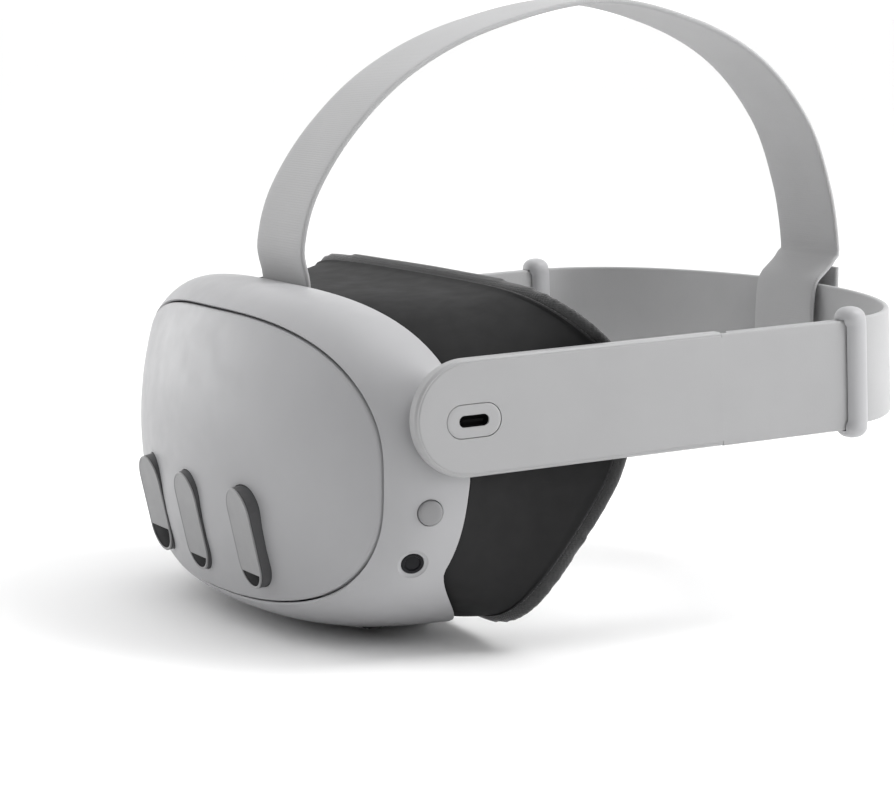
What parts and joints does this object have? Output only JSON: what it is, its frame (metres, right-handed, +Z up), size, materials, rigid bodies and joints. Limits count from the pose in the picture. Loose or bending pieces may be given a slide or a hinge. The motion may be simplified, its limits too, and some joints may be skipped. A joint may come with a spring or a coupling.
{
  "type": "vr headset",
  "caption": "Mixed-reality headset: curved visor with sensor pods, padded face opening, tilting side arms, elastic band behind the head and a webbing strap over the top",
  "frame": {"origin": "middle of the flat patch under the visor that the headset stands on", "axes": "+Z up, +X the wearer's left, -Y the way the headset looks, +Y towards the back of the head"},
  "size_m": [0.1852, 0.2083, 0.1712],
  "materials": {
    "shell_plastic": "satin moulded light-grey shell",
    "arm_plastic": "satin moulded light-grey arm",
    "slider_plastic": "satin moulded light grey",
    "pod_cap_plastic": "satin mid-grey cap",
    "pod_plastic": "matt dark-grey side wall",
    "dark_window": "polished dark window",
    "black_plastic": "matt black",
    "pad_plastic": "matt dark-grey soft-touch wall",
    "pad_foam": "foam in a fine knitted cover",
    "webbing": "woven elastic band with fine cross ribs",
    "lens_glass": "clear lens",
    "frame_metal": "bare machined metal",
    "connector_metal": "plated contact",
    "circuit_board": "solder-mask green",
    "battery_wrap": "foil-wrapped cell"
  },
  "bodies": {
    "visor": {"front_cover": "shell_plastic", "front_shell": "shell_plastic", "sensor_bar": "frame_metal", "rear_housing": "black_plastic", "strap_anchor": "black_plastic", "mid_frame": "frame_metal", "mainboard": "circuit_board", "heat_sink": "frame_metal", "fan_housing": "black_plastic", "battery": "battery_wrap", "proximity_window": "dark_window", "pod_housing_right": "pod_plastic", "pod_cap_right": "pod_cap_plastic", "pod_window_right": "dark_window", "pod_housing_center": "pod_plastic", "pod_cap_center": "pod_cap_plastic", "pod_window_center": "dark_window", "pod_housing_left": "pod_plastic", "pod_cap_left": "pod_cap_plastic", "pod_window_left": "dark_window", "side_camera_left": "dark_window", "pivot_bush_left": "frame_metal", "charge_pad_left": "connector_metal", "side_camera_right": "dark_window", "pivot_bush_right": "frame_metal", "charge_pad_right": "connector_metal"},
    "headband": {"usb_bezel": "arm_plastic", "usb_socket": "connector_metal", "audio_bezel": "arm_plastic", "audio_socket": "connector_metal", "arm_left": "arm_plastic", "arm_liner_left": "arm_plastic", "speaker_left": "black_plastic", "side_strap_left": "arm_plastic", "arm_right": "arm_plastic", "arm_liner_right": "arm_plastic", "speaker_right": "black_plastic", "side_strap_right": "arm_plastic", "pivot_pin_left": "frame_metal", "pivot_pin_right": "frame_metal", "rear_strap": "webbing", "top_strap": "webbing"},
    "slider_left_body": {"slider_left": "slider_plastic"},
    "slider_right_body": {"slider_right": "slider_plastic"},
    "face_pad": {"face_pad_frame": "pad_plastic", "face_cushion": "pad_foam"},
    "power_key": {"power_button": "shell_plastic"},
    "volume_key": {"volume_rocker": "shell_plastic"},
    "ipd_wheel": {"ipd_dial": "pod_plastic"},
    "lens_set_left": {"lens_barrel_left": "black_plastic", "lens_left": "lens_glass", "display_left": "dark_window"},
    "lens_set_right": {"lens_barrel_right": "black_plastic", "lens_right": "lens_glass", "display_right": "dark_window"},
    "fan": {"fan_rotor": "black_plastic"}
  },
  "joints": [
    {"name": "arm_tilt", "type": "hinge", "parent": "visor", "child": "headband", "pos_m": [0, -0.01015, 0.0648], "axis": [1, 0, 0], "range_deg": [-18, 12], "deforming": ["top_strap"]},
    {"name": "slider_left_slide", "type": "slide", "parent": "headband", "child": "slider_left_body", "axis": [0, 0.9991, 0.0414], "range_m": [-0.035, 0]},
    {"name": "slider_right_slide", "type": "slide", "parent": "headband", "child": "slider_right_body", "axis": [0, 0.9991, 0.0414], "range_m": [-0.035, 0]},
    {"name": "eye_relief_slide", "type": "slide", "parent": "visor", "child": "face_pad", "axis": [0, 1, 0], "range_m": [0, 0.008]},
    {"name": "power_press", "type": "slide", "parent": "visor", "child": "power_key", "axis": [-0.9875, 0.1161, 0.107], "range_m": [0, 0.0006], "stiffness_N_per_m": 900, "springref_m": -0.0003},
    {"name": "volume_rock", "type": "hinge", "parent": "visor", "child": "volume_key", "pos_m": [-0.034, -0.008, 0.0033], "axis": [0, 1, 0], "range_deg": [-3, 3], "stiffness_Nm_per_rad": 0.05},
    {"name": "ipd_turn", "type": "hinge", "parent": "visor", "child": "ipd_wheel", "pos_m": [0.036, -0.006, 0.0098], "axis": [0, 1, 0], "range_deg": [-120, 120]},
    {"name": "lens_left_slide", "type": "slide", "parent": "visor", "child": "lens_set_left", "axis": [1, 0, 0], "range_m": [-0.00325, 0.00325]},
    {"name": "lens_right_slide", "type": "slide", "parent": "visor", "child": "lens_set_right", "axis": [-1, 0, 0], "range_m": [-0.00325, 0.00325]},
    {"name": "fan_spin", "type": "hinge", "parent": "visor", "child": "fan", "pos_m": [0, -0.034, 0.057], "axis": [0, 1, 0], "continuous": true}
  ],
  "couplings": [
    {"joint": "ipd_turn", "follows": "lens_left_slide", "rad_per_m": 644.4},
    {"joint": "lens_right_slide", "follows": "lens_left_slide", "ratio": 1}
  ]
}
